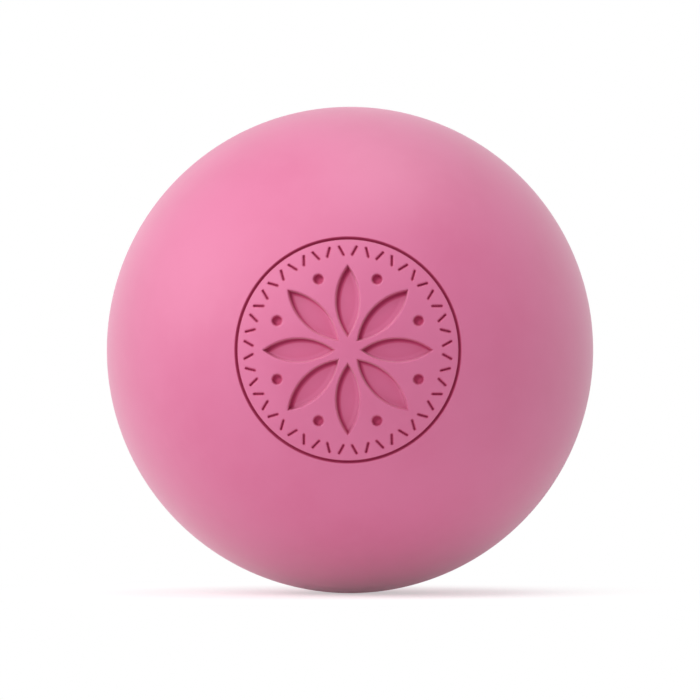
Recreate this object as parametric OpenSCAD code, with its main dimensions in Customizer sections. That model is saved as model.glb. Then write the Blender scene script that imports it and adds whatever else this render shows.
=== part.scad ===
// Solid rubber lacrosse ball: a dense core, moulded first, inside a coloured cover that is
// cured round it as a front and a rear half shell.
// The origin is the ball's centre, +Z is up, and the sunk emblem faces -Y.

/* [Ball] */
// Outside diameter of the finished ball
ball_d = 63; // [62.6:0.1:64.7]
// Thickness of the coloured cover over the core
cover_t = 5; // [3:0.1:8]

/* [Witness line] */
// Width of the shallow line where the two half shells meet
witness_w = 0.3; // [0.1:0.05:0.6]
// Depth of that line at its middle
witness_depth = 0.12; // [0.04:0.01:0.3]

/* [Emblem border] */
// Radius of the round border line, square to the emblem's axis
border_r = 14.1; // [12:0.1:16]
// Width of the border line at the ball's surface
border_w = 0.4; // [0.2:0.05:0.8]
// Depth of the border line
border_depth = 0.4; // [0.2:0.05:0.8]

/* [Zigzag band] */
// Number of short strokes in the band inside the border, which lean left and right in turn
stroke_count = 48; // [24:2:56]
// Length of one stroke over its round ends
stroke_len = 1.5; // [0.8:0.1:2]
// Width of one stroke
stroke_w = 0.36; // [0.2:0.02:0.5]
// Angle that a stroke leans away from the radius
stroke_lean = 25; // [0:1:35]
// Depth of the strokes
stroke_depth = 0.35; // [0.2:0.05:0.8]
// Plain land between the border line and the strokes
stroke_land = 0.7; // [0.3:0.1:1.5]

/* [Rosette] */
// Number of petals
petal_count = 8; // [5:1:8]
// Greatest width of one petal
petal_w = 3.3; // [2:0.1:3.6]
// Depth of the petals
petal_depth = 0.8; // [0.2:0.05:1.2]
// Radius of the plain hub that the petals start from
hub_r = 1.5; // [1.5:0.1:2.5]
// Plain land between the strokes and the petals' outer tips
petal_land = 1; // [0.5:0.1:2]
// Radius of the round dot between two petals
dot_r = 0.75; // [0.3:0.05:0.8]
// Depth of the dots
dot_depth = 0.5; // [0.2:0.05:0.8]
// How far a dot's centre lies inside the circle of the petals' outer tips
dot_inset = 1.2; // [0.8:0.1:2]

/* [Hidden] */

ball_r = ball_d / 2;
core_r = ball_r - cover_t;

// Share of the border line's width that is left at its floor
border_floor_share = 0.5;
// How far every cutting shape runs past the surface that it cuts
overrun = 1;

// The emblem is laid out from the border inwards
stroke_run = stroke_len - stroke_w;
stroke_reach = stroke_run * cos(stroke_lean) + stroke_w;
stroke_at_r = border_r - border_w / 2 - stroke_land - stroke_reach / 2;
petal_tip_r = stroke_at_r - stroke_reach / 2 - petal_land;
petal_len = petal_tip_r - hub_r;
dot_at_r = petal_tip_r - dot_inset;
// A petal is the overlap of two equal circles: this radius gives its length and its width
petal_arc_r = (petal_len * petal_len + petal_w * petal_w) / (4 * petal_w);

round_fn = 180;
small_fn = 32;

rubber_pink = "palevioletred";
core_grey = "dimgray";

// Turns what is drawn round +Z to face the front, with the drawing's +Y upwards
module face_front() rotate([90, 0, 0]) children();

// Turns what is drawn round +Z to face the rear
module face_rear() rotate([-90, 0, 0]) children();

// Half of the witness line's V, taken off the outer corner of a half shell's rim
module witness_corner() {
    mouth = witness_w / 2;
    polygon([
        [ball_r - witness_depth, -overrun],
        [ball_r - witness_depth, 0],
        [sqrt(ball_r * ball_r - mouth * mouth), mouth],
        [ball_r + overrun, mouth],
        [ball_r + overrun, -overrun]
    ]);
}

// Section of a half shell from its rim to its pole
module half_shell_section() {
    difference() {
        intersection() {
            circle(r = ball_r, $fn = round_fn);
            square(ball_r + overrun);
        }
        circle(r = core_r, $fn = round_fn);
        witness_corner();
    }
}

module half_shell() rotate_extrude($fn = round_fn) half_shell_section();

// Border line: a groove with sloping walls, cut square to the ball's surface
module border_line() {
    mouth = border_w / 2;
    floor = mouth * border_floor_share;
    lip = mouth + (mouth - floor) * overrun / border_depth;
    rotate_extrude($fn = round_fn)
        rotate(-asin(border_r / ball_r))
            translate([0, ball_r])
                polygon([
                    [-floor, -border_depth],
                    [floor, -border_depth],
                    [lip, overrun],
                    [-lip, overrun]
                ]);
}

// Sinks an outline into the ball to an even depth, with a floor that follows the ball's curve
module sunk(depth) {
    difference() {
        linear_extrude(ball_r + overrun) children();
        rotate([90, 0, 0]) sphere(r = ball_r - depth, $fn = round_fn);
    }
}

// One stroke of the band, with round ends, along +Y before it leans
module stroke() {
    square([stroke_w, stroke_run], center = true);
    for (side = [-1, 1])
        translate([0, side * stroke_run / 2])
            circle(d = stroke_w, $fn = small_fn);
}

module zigzag_band() {
    for (i = [0 : stroke_count - 1])
        rotate((i + 0.5) * 360 / stroke_count)
            translate([0, stroke_at_r])
                rotate(i % 2 == 0 ? stroke_lean : -stroke_lean)
                    stroke();
}

// One petal, pointed at both ends, with its axis along +Y
module petal() {
    translate([0, hub_r + petal_len / 2])
        intersection_for(side = [-1, 1])
            translate([side * (petal_arc_r - petal_w / 2), 0])
                circle(r = petal_arc_r, $fn = round_fn);
}

module petals() {
    for (i = [0 : petal_count - 1])
        rotate(i * 360 / petal_count)
            petal();
}

module dots() {
    for (i = [0 : petal_count - 1])
        rotate((i + 0.5) * 360 / petal_count)
            translate([0, dot_at_r])
                circle(r = dot_r, $fn = small_fn);
}

// Inner ball of filled rubber, moulded before the cover goes on
module core() {
    color(core_grey)
        sphere(r = core_r, $fn = round_fn);
}

// Front half of the cover, with the emblem moulded into it
module front_cover() {
    color(rubber_pink)
        face_front()
            difference() {
                half_shell();
                border_line();
                sunk(stroke_depth) zigzag_band();
                sunk(petal_depth) petals();
                sunk(dot_depth) dots();
            }
}

// Rear half of the cover, which is plain
module rear_cover() {
    color(rubber_pink)
        face_rear()
            half_shell();
}

core();
front_cover();
rear_cover();
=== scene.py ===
import math

import bpy
import numpy as np
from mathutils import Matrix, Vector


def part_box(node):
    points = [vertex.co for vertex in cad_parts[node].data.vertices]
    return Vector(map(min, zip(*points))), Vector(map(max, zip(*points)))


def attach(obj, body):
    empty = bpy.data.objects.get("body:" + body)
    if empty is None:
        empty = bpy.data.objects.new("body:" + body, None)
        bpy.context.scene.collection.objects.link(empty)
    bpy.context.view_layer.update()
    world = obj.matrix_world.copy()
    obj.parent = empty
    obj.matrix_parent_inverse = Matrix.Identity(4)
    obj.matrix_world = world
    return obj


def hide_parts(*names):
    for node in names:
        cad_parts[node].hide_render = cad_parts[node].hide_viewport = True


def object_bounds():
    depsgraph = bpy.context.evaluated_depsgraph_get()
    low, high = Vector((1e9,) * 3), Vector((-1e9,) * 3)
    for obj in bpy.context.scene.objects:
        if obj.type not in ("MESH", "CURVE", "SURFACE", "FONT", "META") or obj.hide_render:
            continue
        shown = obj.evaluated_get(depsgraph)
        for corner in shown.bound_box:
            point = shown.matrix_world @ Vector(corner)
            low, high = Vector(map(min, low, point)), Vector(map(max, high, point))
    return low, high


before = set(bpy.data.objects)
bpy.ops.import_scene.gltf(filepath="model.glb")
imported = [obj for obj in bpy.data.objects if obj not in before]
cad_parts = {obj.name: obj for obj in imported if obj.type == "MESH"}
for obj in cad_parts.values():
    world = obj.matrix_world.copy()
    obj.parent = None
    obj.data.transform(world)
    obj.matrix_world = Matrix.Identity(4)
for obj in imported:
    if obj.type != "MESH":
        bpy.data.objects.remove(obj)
cad_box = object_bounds()


# Core: the solid inner ball, of grey rubber filled with chalk and ground scrap. It is pressed in
# a round mould first, and the two halves of the cover are cured onto it, so it gives the ball its
# weight and bounce and doesn't show.
filled_grey = (0.14, 0.13, 0.13, 1)
scrap_dark = (0.05, 0.045, 0.045, 1)
chalk_pale = (0.34, 0.32, 0.31, 1)
# Lengths are in metres, here and in all sections
scrap_size = 0.0011
chalk_size = 0.0004
scrap_detail = 3
chalk_detail = 2
# Where in its own noise a crumb or a speck begins, and where it is full
scrap_rise = (0.52, 0.62)
chalk_rise = (0.64, 0.7)
core_roughness = (0.72, 0.9)
core_pit_strength = 0.6
core_pit_depth = 0.00003


def put_node(tree, kind, inputs, **settings):
    """New node in a material's tree. A setting is a choice on the node. An input, by its name or
    its number, is given a number, a colour, or the output of another node that feeds it."""
    new = tree.nodes.new(kind)
    for name, choice in settings.items():
        setattr(new, name, choice)
    for name, source in inputs.items():
        if isinstance(source, bpy.types.NodeSocket):
            tree.links.new(source, new.inputs[name])
        else:
            new.inputs[name].default_value = source
    return new


def new_material(name):
    """New material with its tree of nodes, and the place of each point in its own piece."""
    material = bpy.data.materials.new(name)
    material.use_nodes = True
    tree = material.node_tree
    return material, tree, put_node(tree, "ShaderNodeTexCoord", {}).outputs["Object"]


def mix_colours(tree, share, first, second):
    """Colour that goes from the first to the second as the share goes from nothing to one.

    The node has other sockets for other kinds of value: 6 and 7 take colours, and 2 gives one.
    """
    colours = {"Factor": share, 6: first, 7: second}
    return put_node(tree, "ShaderNodeMix", colours, data_type="RGBA").outputs[2]


def ramp(tree, value, low, high, at_low=0, at_high=1):
    """Smooth rise of a value's own range, low to high, into another range, level outside it."""
    rise = {"Value": value, "From Min": low, "From Max": high, "To Min": at_low, "To Max": at_high}
    return put_node(tree, "ShaderNodeMapRange", rise, interpolation_type="SMOOTHSTEP").outputs[0]


def grain(tree, place, size, detail):
    """Cloudy noise whose blots are about the given size across."""
    spots = {"Vector": place, "Scale": 1 / size, "Detail": detail}
    return put_node(tree, "ShaderNodeTexNoise", spots).outputs["Fac"]


def core_rubber():
    """Filled grey rubber with darker crumbs of scrap and pale specks of chalk."""
    material, tree, place = new_material("core_rubber")
    crumbs = ramp(tree, grain(tree, place, scrap_size, scrap_detail), *scrap_rise)
    specks = ramp(tree, grain(tree, place, chalk_size, chalk_detail), *chalk_rise)
    colour = mix_colours(tree, crumbs, filled_grey, scrap_dark)
    pits = {"Height": crumbs, "Strength": core_pit_strength, "Distance": core_pit_depth}
    shader = tree.nodes["Principled BSDF"]
    tree.links.new(mix_colours(tree, specks, colour, chalk_pale), shader.inputs["Base Color"])
    tree.links.new(ramp(tree, specks, 0, 1, *core_roughness), shader.inputs["Roughness"])
    tree.links.new(put_node(tree, "ShaderNodeBump", pits).outputs[0], shader.inputs["Normal"])
    return material


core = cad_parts["core"]
core.data.materials.clear()
core.data.materials.append(core_rubber())


# Front cover: half of the coloured shell, pink gum rubber pressed in a round mould and cured onto
# the core. Raised lines in the mould sank its emblem, a border line round a band of short strokes
# and a rosette of petals and dots. The mould closed at its rim, where a fine V is left.
ball_r = -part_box("front_cover")[0].y
core_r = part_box("core")[1].z
# What the inner wall keeps clear of the core's mesh
core_clearance = 0.00004
# The V where the two halves meet: its width at the mouth and its depth in the middle
witness_w = 0.0003
witness_depth = 0.00012

# Border line: a groove with sloping walls, whose floor has a share of its width
border_r = 0.0141
border_w = 0.0004
border_floor_share = 0.5
border_depth = 0.0004

# Strokes with round ends, which lean off the radius left and right in turn. Each of a stroke's
# two walls takes a share of its width, and plain land lies between the strokes and the border
stroke_count = 48
stroke_len = 0.0015
stroke_w = 0.00036
stroke_wall_share = 0.4
stroke_lean = math.radians(25)
stroke_depth = 0.00035
stroke_land = 0.0007

# Petals, pointed at both ends, round a plain hub, with plain land between them and the strokes
petal_count = 8
petal_w = 0.0033
petal_wall = 0.0003
petal_depth = 0.0008
hub_r = 0.0015
petal_land = 0.001

# Dots between the petals, with their middles inside the circle of the petals' outer tips
dot_r = 0.00075
dot_wall = 0.00025
dot_depth = 0.0005
dot_inset = 0.0012

# The emblem is laid out from the border inwards
border_wall = border_w * (1 - border_floor_share) / 2
stroke_wall = stroke_w * stroke_wall_share
stroke_run = stroke_len - stroke_w
stroke_reach = stroke_run * math.cos(stroke_lean) + stroke_w
stroke_at_r = border_r - border_w / 2 - stroke_land - stroke_reach / 2
petal_tip_r = stroke_at_r - stroke_reach / 2 - petal_land
petal_len = petal_tip_r - hub_r
petal_mid_r = hub_r + petal_len / 2
petal_arc_r = (petal_len ** 2 + petal_w ** 2) / (4 * petal_w)
dot_at_r = petal_tip_r - dot_inset
# The first petal points straight up, and the first stroke and dot stand half a spoke further round
half_spoke = 0.5


def fold(u, v, spokes, shift):
    """Turns each point round the emblem's axis to the spoke nearest to it.

    The angle from +V, counted in spokes, less its own nearest whole number after the shift, is
    what is left of the turn. Its sine and cosine times the radius are the places across and along
    the spoke. The third result is the spoke's number.
    """
    radius = np.hypot(u, v)
    turn = np.arctan2(-u, v) * spokes / (2 * np.pi) - shift
    number = np.round(turn)
    left = (turn - number) * 2 * np.pi / spokes
    return -radius * np.sin(left), radius * np.cos(left), number


def border_gap(u, v):
    """Distance outside the border line: how far the radius is from the line's, less half its width."""
    return np.abs(np.hypot(u, v) - border_r) - border_w / 2


def stroke_gap(u, v):
    """Distance outside the nearest stroke, a straight run that leans left and right in turn.

    The point is turned back by the lean, its distance from the run's own stretch is a
    hypotenuse, and half the stroke's width is taken off.
    """
    across, along, number = fold(u, v, stroke_count, half_spoke)
    lean = np.where(number % 2 == 0, stroke_lean, -stroke_lean)
    along = along - stroke_at_r
    beside = across * np.cos(lean) + along * np.sin(lean)
    beyond = np.abs(along * np.cos(lean) - across * np.sin(lean)) - stroke_run / 2
    return np.hypot(beside, np.maximum(beyond, 0)) - stroke_w / 2


def petal_gap(u, v):
    """Distance outside the nearest petal, the overlap of two equal circles.

    Beside the petal it is the distance from the far circle's centre less that circle's radius,
    and past the line from that centre through the tip it is the distance from the tip.
    """
    across, along, _ = fold(u, v, petal_count, 0)
    across = np.abs(across)
    along = np.abs(along - petal_mid_r)
    centre = petal_arc_r - petal_w / 2
    past = along - petal_len / 2
    beside = np.hypot(across + centre, along) - petal_arc_r
    return np.where(past * centre > across * petal_len / 2, np.hypot(across, past), beside)


def dot_gap(u, v):
    """Distance outside the nearest dot: a circle on the spoke between two petals."""
    across, along, _ = fold(u, v, petal_count, half_spoke)
    return np.hypot(across, along - dot_at_r) - dot_r


# Painted shade in the marks: the narrow marks are fully shaded. The wide ones have a share of it
# on the open floor, and another share along the walls that face the light. Just inside a lip on
# the side the light comes from, a painted shadow covers the wall and the start of the floor, at full
full_shade = 1
petal_floor_shade = 0.16
petal_lit_wall_shade = 0
dot_floor_shade = 0.6
dot_lit_wall_shade = 0.5
# Direction the light comes from in the emblem's plane, and how far and how softly the painted shadow
# reaches in past each lip
light_from = math.radians(138)
shadow_offset = 0.0005
shadow_fade = 0.0005
# A narrow mark has this share of its painted shade at its lip, and is full this share down its wall
lip_shade_share = 0.25
full_down_wall = 0.25

mark_gaps = (border_gap, stroke_gap, petal_gap, dot_gap)
border_mark = mark_gaps.index(border_gap)
mark_depths = np.array([border_depth, stroke_depth, petal_depth, dot_depth])
mark_walls = np.array([border_wall, stroke_wall, petal_wall, dot_wall])
floor_shades = np.array([full_shade, full_shade, petal_floor_shade, dot_floor_shade])
lit_wall_shades = np.array([full_shade, full_shade, petal_lit_wall_shade, dot_lit_wall_shade])


def nearest_mark(u, v):
    """Distance outside the nearest mark, and which mark that is: the least of all distances."""
    gaps = np.stack([gap(u, v) for gap in mark_gaps])
    return gaps.min(0), gaps.argmin(0)


def way_out(u, v):
    """Direction straight out of the nearest mark: the slope of its distance, by central difference."""
    tiny = 1e-6
    along_u = nearest_mark(u + tiny, v)[0] - nearest_mark(u - tiny, v)[0]
    along_v = nearest_mark(u, v + tiny)[0] - nearest_mark(u, v - tiny)[0]
    return along_u / (2 * tiny), along_v / (2 * tiny)


def settle_on_edges(u, v, row_step, ring_step):
    """Slides grid points onto the lips and the floor edges of the marks, so that both are crisp.

    A point that is less than half a cell from an edge, measured along the way out of the mark,
    moves along it by what it is short.
    """
    for wall_share in (0, 1):
        gap, mark = nearest_mark(u, v)
        out_u, out_v = way_out(u, v)
        radius = np.hypot(u, v)
        outward = np.abs(out_u * u + out_v * v) / radius
        around = np.abs(out_v * u - out_u * v) / radius
        reach = np.maximum(outward * row_step, around * ring_step) / 2
        short = gap + wall_share * mark_walls[mark]
        slide = np.where(np.abs(short) < reach, -short, 0)
        u = u + slide * out_u
        v = v + slide * out_v
    return u, v


def ease(value, low, high):
    """Smooth rise from nothing at low to one at high: three squares less two cubes of the share."""
    share = np.clip((value - low) / (high - low), 0, 1)
    return share * share * (3 - 2 * share)


def lip_shadow(u, v, lip_shift):
    """Painted shadow: share of each point covered by a lip once all lips move the shift from the
    light.

    Each point is moved the other way instead. The share is one where that brings it out of its
    mark, and eases to nothing over the fade where it stays inside.
    """
    back_u = u + lip_shift * math.cos(light_from)
    back_v = v + lip_shift * math.sin(light_from)
    return ease(nearest_mark(back_u, back_v)[0], -shadow_fade, 0)


def painted_shade_share(u, v, gap, mark, sunk_share):
    """Share of painted shade at points with their distance, their mark and their share of its depth.

    What the lips shadow from the light, moved by the offset, has all of it: a painted shadow. What
    they cover moved the same offset backwards, on the walls facing the light, has the lit walls'
    share. The rest has what the open floor has. A narrow mark fills in a straight line from its lip
    down its wall, and a wide one fills with its depth.
    """
    shadowed = lip_shadow(u, v, shadow_offset)
    lit_wall = lip_shadow(u, v, -shadow_offset)
    in_the_open = floor_shades[mark] + lit_wall * (lit_wall_shades - floor_shades)[mark]
    down_wall = -gap / (full_down_wall * mark_walls[mark])
    from_lip = np.clip(lip_shade_share + (1 - lip_shade_share) * down_wall, 0, 1)
    filled = np.where(floor_shades[mark] < full_shade, sunk_share, from_lip)
    return filled * (in_the_open + shadowed * (1 - in_the_open))


def sink_emblem(u, v, row_step, ring_step):
    """Places on the ball's front, and the share of painted shade at each, for grid points (u, v).

    Inside a mark the depth eases in over the wall's width. The ball's radius is less by that
    depth, and the height over the emblem's plane is its other side in the right triangle. The
    border alone sinks towards the ball's centre.
    """
    u, v = settle_on_edges(u, v, row_step, ring_step)
    gap, mark = nearest_mark(u, v)
    sunk_share = ease(-gap, 0, mark_walls[mark])
    painted_shade = painted_shade_share(u, v, gap, mark, sunk_share)
    radius = ball_r - sunk_share * mark_depths[mark]
    draw_in = np.where(mark == border_mark, radius / ball_r, 1)
    u, v = u * draw_in, v * draw_in
    return u, v, np.sqrt(radius ** 2 - u ** 2 - v ** 2), painted_shade


def along_ball(radius):
    """Arc length from the pole to where the ball's surface is this far from the axis."""
    return ball_r * math.asin(radius / ball_r)


def crowded(stops, steps):
    """Arc lengths of rows that lie close together where the wanted step is small.

    The step is a straight-line ramp between the stops, and the rows are even in the running sum
    of one over the step.
    """
    sum_points = 40001
    fine = np.linspace(stops[0], stops[-1], sum_points)
    middle = (fine[1:] + fine[:-1]) / 2
    total = np.concatenate([[0], np.cumsum(np.diff(fine) / np.interp(middle, stops, steps))])
    return np.interp(np.linspace(0, total[-1], round(total[-1]) + 1), total, fine)


def put_object(name, data):
    """New object in the scene, at the origin and not turned."""
    new = bpy.data.objects.new(name, data)
    bpy.context.scene.collection.objects.link(new)
    return new


def ring_mesh(name, rings, poles, painted_shade):
    """Smooth closed mesh of rings of points, which carries the painted shade share at each point.

    Quads join each ring to the next, and a fan of triangles joins the first and the last ring to
    its own pole. The poles have no painted shade.
    """
    count, columns = painted_shade.shape
    pole = count * columns
    here = np.arange(pole).reshape(count, columns)
    there = np.roll(here, -1, 1)
    quads = np.stack([here[:-1], here[1:], there[1:], there[:-1]], 2).reshape(-1, 4)
    first_fan = np.stack([np.full(columns, pole), here[0], there[0]], 1)
    last_fan = np.stack([np.full(columns, pole + 1), there[-1], here[-1]], 1)
    points = np.concatenate([rings.reshape(-1, 3), poles])
    corners = np.concatenate([quads.ravel(), first_fan.ravel(), last_fan.ravel()])
    sizes = np.concatenate([np.full(len(quads), 4), np.full(2 * columns, 3)])
    mesh = bpy.data.meshes.new(name)
    mesh.vertices.add(len(points))
    mesh.vertices.foreach_set("co", points.ravel())
    mesh.loops.add(len(corners))
    mesh.loops.foreach_set("vertex_index", corners)
    mesh.polygons.add(len(sizes))
    mesh.polygons.foreach_set("loop_start", np.cumsum(sizes) - sizes)
    mesh.update(calc_edges=True)
    mesh.attributes.new("painted_shade", "FLOAT", "POINT")
    mesh.attributes["painted_shade"].data.foreach_set("value", np.append(painted_shade.ravel(), [0, 0]))
    mesh.polygons.foreach_set("use_smooth", np.ones(len(sizes), bool))
    return mesh


def half_shell(name, arcs, columns, facing, sink=None):
    """Closed half shell: rings round the Y axis, from the outer pole over the rim to the inner pole.

    An outer ring's angle from the pole is its arc length over the ball's radius. Its own radius
    is the ball's times the sine of that angle, and its height the ball's times the cosine. Then
    come the bottom of the V, the flat rim, and the inner wall, even in angle. Facing is 1 for the
    front and -1 for the rear, which is the front turned half round Z.
    """
    sink_margin = 3 * border_w
    inner_rings = 13
    turn = np.arange(columns) * 2 * np.pi / columns
    angle = arcs[1:, None] / ball_r
    outer_r = ball_r * np.sin(angle)
    u = outer_r * np.cos(turn)
    v = outer_r * np.sin(turn)
    height = np.broadcast_to(ball_r * np.cos(angle), u.shape).copy()
    # Painted shade share of each point, none outside the emblem
    painted_shade = np.zeros(u.shape)
    if sink:
        within = arcs[1:] < along_ball(border_r) + sink_margin
        row_step = np.gradient(outer_r, axis=0)[within]
        ring_step = outer_r[within] * 2 * np.pi / columns
        sunk = sink(u[within], v[within], row_step, ring_step)
        u[within], v[within], height[within], painted_shade[within] = sunk

    inner_r = core_r + core_clearance
    inner_angle = np.linspace(np.pi / 2, 0, inner_rings + 1)[:-1]
    inside_r = np.concatenate([[ball_r - witness_depth], inner_r * np.sin(inner_angle)])[:, None]
    inside_h = np.concatenate([[0], inner_r * np.cos(inner_angle)])[:, None]
    u = np.concatenate([u, inside_r * np.cos(turn)])
    v = np.concatenate([v, inside_r * np.sin(turn)])
    height = np.concatenate([height, np.broadcast_to(inside_h, (len(inside_h), columns))])
    painted_shade = np.concatenate([painted_shade, np.zeros((len(inside_h), columns))])
    rings = np.stack([facing * u, -facing * height, v], 2)
    poles = [[0, -facing * ball_r, 0], [0, -facing * inner_r, 0]]
    return put_object(name, ring_mesh(name, rings, poles, painted_shade))


gum_pink = (0.697, 0.121, 0.295, 1)
bloom_pink = (0.718, 0.142, 0.322, 1)
cloud_size = 0.012
cloud_detail = 2
cloud_rise = (0.35, 0.7)
bloom_size = 0.0024
bloom_detail = 4
bloom_rise = (0.4, 0.75)
bloom_most = 0.4
bloom_sheen = 0.4
bloom_sheen_roughness = 0.5
gum_gloss = 0.9
skin_roughness = (0.5, 0.54)
skin_grain = 0.0003
grain_detail = 2
grain_strength = 0.5
grain_depth = 0.000012

# Up to this share of painted shade the skin is painted rose, and above it painted crimson
rose_shade_full = 0.4
shade_rose = (0.58, 0.03, 0.16, 1)
shade_crimson = (0.375, 0.001, 0.075, 1)
# Roughness added where the painted shade is full
shade_roughening = 0.4

# The trimmed band is full up to the first distance from the rim and gone from the second
trim_fade = (0.00054, 0.00108)
trim_pink = (0.755, 0.182, 0.365, 1)
trim_most = 0.75
trim_roughening = 0.15
trim_wander = 0.0003
wander_detail = 3
wander_rise = (0.3, 0.7)


def add_share(tree, share, amount, onto):
    """A value with the amount, times the share of it, added onto it."""
    terms = {0: share, 1: amount, 2: onto}
    return put_node(tree, "ShaderNodeMath", terms, operation="MULTIPLY_ADD").outputs[0]


def trimmed_share(tree, place):
    """Share of trimmed skin: the most of it where Y is near nothing, with an edge that wanders."""
    from_rim = put_node(tree, "ShaderNodeSeparateXYZ", {"Vector": place}).outputs["Y"]
    off_rim = put_node(tree, "ShaderNodeMath", {0: from_rim}, operation="ABSOLUTE").outputs[0]
    wander = ramp(tree, grain(tree, place, bloom_size, wander_detail), *wander_rise, -1, 1)
    return ramp(tree, add_share(tree, wander, trim_wander, off_rim), *trim_fade, trim_most, 0)


def cover_rubber():
    """Pink gum rubber: faint clouds and bloom in the colour, a fine matt grain from the mould,
    painted shade in the marks, rose where it is light and crimson where it is full, and a paler,
    rougher band along the rim, where the thin flash was ground off."""
    material, tree, place = new_material("cover_rubber")
    clouds = ramp(tree, grain(tree, place, cloud_size, cloud_detail), *cloud_rise)
    bloom = ramp(tree, grain(tree, place, bloom_size, bloom_detail), *bloom_rise, 0, bloom_most)
    # Share of painted shade in the marks, which the mesh carries
    painted_shade = put_node(tree, "ShaderNodeAttribute", {}, attribute_name="painted_shade").outputs["Fac"]
    trimmed = trimmed_share(tree, place)

    skin = mix_colours(tree, clouds, gum_pink, bloom_pink)
    dusted = mix_colours(tree, bloom, skin, bloom_pink)
    ground = mix_colours(tree, trimmed, dusted, trim_pink)
    scuffed = add_share(tree, trimmed, trim_roughening, ramp(tree, clouds, 0, 1, *skin_roughness))
    # Painted shade in the marks: rose where it is light, crimson where it is full
    rose_shaded = mix_colours(tree, ramp(tree, painted_shade, 0, rose_shade_full), ground, shade_rose)
    crimson_shaded = mix_colours(tree, ramp(tree, painted_shade, rose_shade_full, 1), rose_shaded, shade_crimson)
    shader = tree.nodes["Principled BSDF"]
    tree.links.new(crimson_shaded, shader.inputs["Base Color"])
    tree.links.new(add_share(tree, painted_shade, shade_roughening, scuffed), shader.inputs["Roughness"])
    shader.inputs["Specular IOR Level"].default_value = gum_gloss
    shader.inputs["Sheen Weight"].default_value = bloom_sheen
    shader.inputs["Sheen Roughness"].default_value = bloom_sheen_roughness
    pits = grain(tree, place, skin_grain, grain_detail)
    bump = {"Height": pits, "Strength": grain_strength, "Distance": grain_depth}
    tree.links.new(put_node(tree, "ShaderNodeBump", bump).outputs[0], shader.inputs["Normal"])
    return material


# Steps between the rows of points: small where an edge has to be crisp, and wide on plain skin
hub_step = 0.0005
petal_step = 0.00012
tip_step = 0.00013
land_step = 0.0003
stroke_step = 0.0001
border_land_step = 0.0002
border_step = 0.00007
outside_step = 0.0006
plain_step = 0.0017
rim_land_step = 0.0003
rim_step = 0.00006
# How far the close rows run on past an edge, and how far from it the wider ones begin
hub_run_on = 0.0003
edge_run_on = 0.0001
near_border = 0.002
past_border = 0.005
before_rim = 0.006
near_rim = 0.0006
# Each stroke has a whole number of columns of points, so that all strokes come out alike
columns_per_stroke = 12

# Steps near the rim, by arc length from the pole
rim_arc = ball_r * math.acos(witness_w / 2 / ball_r)
rim_rows = {rim_arc - before_rim: plain_step, rim_arc - near_rim: rim_land_step, rim_arc: rim_step}
# Steps over the emblem, by distance from its axis
front_rows = {
    0: hub_step,
    hub_r - hub_run_on: petal_step,
    petal_tip_r + edge_run_on: tip_step,
    petal_tip_r + petal_land / 2: land_step,
    petal_tip_r + petal_land - edge_run_on: stroke_step,
    stroke_at_r + stroke_reach / 2 + edge_run_on: stroke_step,
    border_r - border_w / 2 - stroke_land / 2: border_land_step,
    border_r - border_w: border_step,
    border_r + border_w: border_step,
    border_r + near_border: outside_step,
    border_r + past_border: plain_step,
}
front_arcs = crowded(
    [along_ball(radius) for radius in front_rows] + list(rim_rows),
    list(front_rows.values()) + list(rim_rows.values()),
)
front_columns = columns_per_stroke * stroke_count
rubber = cover_rubber()
front_cover = half_shell("front_cover_skin", front_arcs, front_columns, 1, sink_emblem)
front_cover.data.materials.append(rubber)
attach(front_cover, "root")
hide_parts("front_cover")


# Rear cover: the other half of the pink shell, from the plain side of the mould. It meets the
# front half at the rim, and the two are cured into one skin round the core.
rear_pole_step = 0.001
rear_plain = 0.005
rear_step = 0.0014
rear_columns = 240
rear_rows = {0: rear_pole_step, rear_plain: rear_step, **rim_rows}
rear_arcs = crowded(list(rear_rows), list(rear_rows.values()))
rear_cover = half_shell("rear_cover_skin", rear_arcs, rear_columns, -1)
rear_cover.data.materials.append(rubber)
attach(rear_cover, "root")
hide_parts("rear_cover")


# Floor and backdrop: a plain pale sheet under the ball that runs out of sight. What the camera
# and reflections see of it brightens to plain white away from the ball, and near the ball it
# keeps the shadow.
floor_side = 8
floor_pale = (0.9, 0.9, 0.9, 1)
floor_lift = 0.35
shadow_reach = 0.02
white_from = 0.06


def seen_share(tree):
    """One for rays from the camera and from mirrors and glass, and nothing for the others."""
    path = put_node(tree, "ShaderNodeLightPath", {})
    seen = path.outputs["Is Camera Ray"]
    for kind in ("Is Glossy Ray", "Is Transmission Ray"):
        either = {0: seen, 1: path.outputs[kind]}
        seen = put_node(tree, "ShaderNodeMath", either, operation="MAXIMUM").outputs[0]
    return seen


def add_shaders(tree, first, second):
    """Light of both shaders together."""
    return put_node(tree, "ShaderNodeAddShader", {0: first, 1: second}).outputs[0]


def mix_shaders(tree, share, first, second):
    """Shader that goes from the first to the second as the share goes from nothing to one."""
    return put_node(tree, "ShaderNodeMixShader", {0: share, 1: first, 2: second}).outputs[0]


def floor_paper():
    """Matt pale paper, lifted to white where it is seen, more so away from the ball."""
    material, tree, place = new_material("floor_paper")
    tree.nodes.remove(tree.nodes["Principled BSDF"])
    away = put_node(tree, "ShaderNodeVectorMath", {0: place}, operation="LENGTH").outputs["Value"]
    matt = put_node(tree, "ShaderNodeBsdfDiffuse", {"Color": floor_pale}).outputs[0]
    lift = put_node(tree, "ShaderNodeEmission", {"Strength": floor_lift}).outputs[0]
    white = put_node(tree, "ShaderNodeEmission", {"Strength": 1}).outputs[0]
    lifted = add_shaders(tree, matt, lift)
    seen = mix_shaders(tree, ramp(tree, away, shadow_reach, white_from), lifted, white)
    shown = mix_shaders(tree, seen_share(tree), matt, seen)
    tree.links.new(shown, tree.nodes["Material Output"].inputs["Surface"])
    return material


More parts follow.
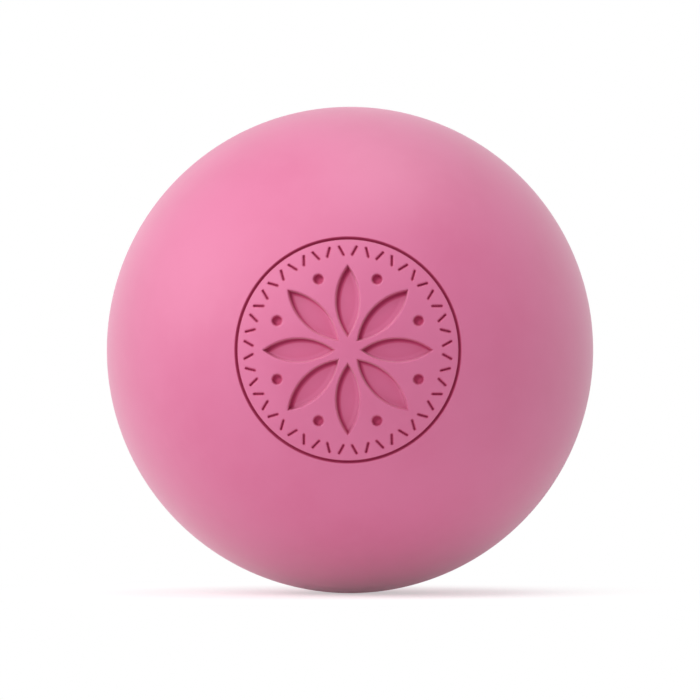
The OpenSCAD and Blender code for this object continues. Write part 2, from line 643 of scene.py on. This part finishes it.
floor_corner = floor_side / 2
floor_points = [(x, y, cad_box[0][2]) for x, y in (
    (-floor_corner, -floor_corner), (floor_corner, -floor_corner),
    (floor_corner, floor_corner), (-floor_corner, floor_corner),
)]
floor_mesh = bpy.data.meshes.new("floor")
floor_mesh.from_pydata(floor_points, [], [(0, 1, 2, 3)])
floor = put_object("floor", floor_mesh)
floor.data.materials.append(floor_paper())

room_white = (1, 1, 1, 1)
room_light = 0.38
room = bpy.data.worlds.new("room")
bpy.context.scene.world = room
room.use_nodes = True
room_tree = room.node_tree
room_strength = ramp(room_tree, seen_share(room_tree), 0, 1, room_light, 1)
room_shader = room_tree.nodes["Background"]
room_shader.inputs["Color"].default_value = room_white
room_tree.links.new(room_strength, room_shader.inputs["Strength"])


# Lamps: one large soft box at the upper left in front, which gives the wide pale sheen, a small
# one low at the left, and one overhead towards the right. The pale room fills in the rest.
def soft_box(name, azimuth_deg, elevation_deg, distance, side, power):
    """Square lamp aimed at the ball, from an azimuth to the right of the camera's side and a height
    over the floor: its direction is the sines and cosines of the two angles."""
    azimuth = math.radians(azimuth_deg)
    elevation = math.radians(elevation_deg)
    lamp = bpy.data.lights.new(name, "AREA")
    lamp.size = side
    lamp.energy = power
    held = put_object(name, lamp)
    held.rotation_euler = (math.pi / 2 - elevation, 0, azimuth)
    held.location = (
        distance * math.cos(elevation) * math.sin(azimuth),
        -distance * math.cos(elevation) * math.cos(azimuth),
        distance * math.sin(elevation),
    )


soft_box("key_box", azimuth_deg=-48, elevation_deg=38, distance=1.4, side=1.6, power=10.2)
soft_box("left_box", azimuth_deg=-85, elevation_deg=20, distance=1.1, side=0.6, power=2.6)
soft_box("top_box", azimuth_deg=65, elevation_deg=80, distance=1.1, side=0.7, power=4)


# Camera: level with the ball's centre, in front of the emblem and a little to its right, so that
# the emblem's middle stands a little to the left of the ball's. The lens fits the ball's width.
frame_px = 700
ball_px = 486.4
emblem_shift_px = 2
camera_away = 1
ball_angle = math.asin(ball_r / camera_away)
emblem_ahead = math.sqrt(ball_r ** 2 - border_r ** 2)
camera_turn = math.asin(emblem_shift_px * 2 * ball_r / ball_px / emblem_ahead)
lens = bpy.data.cameras.new("camera")
lens.lens = lens.sensor_width * ball_px / frame_px / (2 * math.tan(ball_angle))
camera = put_object("camera", lens)
camera.location = (
    camera_away * math.sin(camera_turn),
    -camera_away * math.cos(camera_turn),
    0,
)
camera.rotation_euler = (math.pi / 2, 0, camera_turn)
bpy.context.scene.camera = camera
bpy.context.scene.view_settings.view_transform = "Standard"
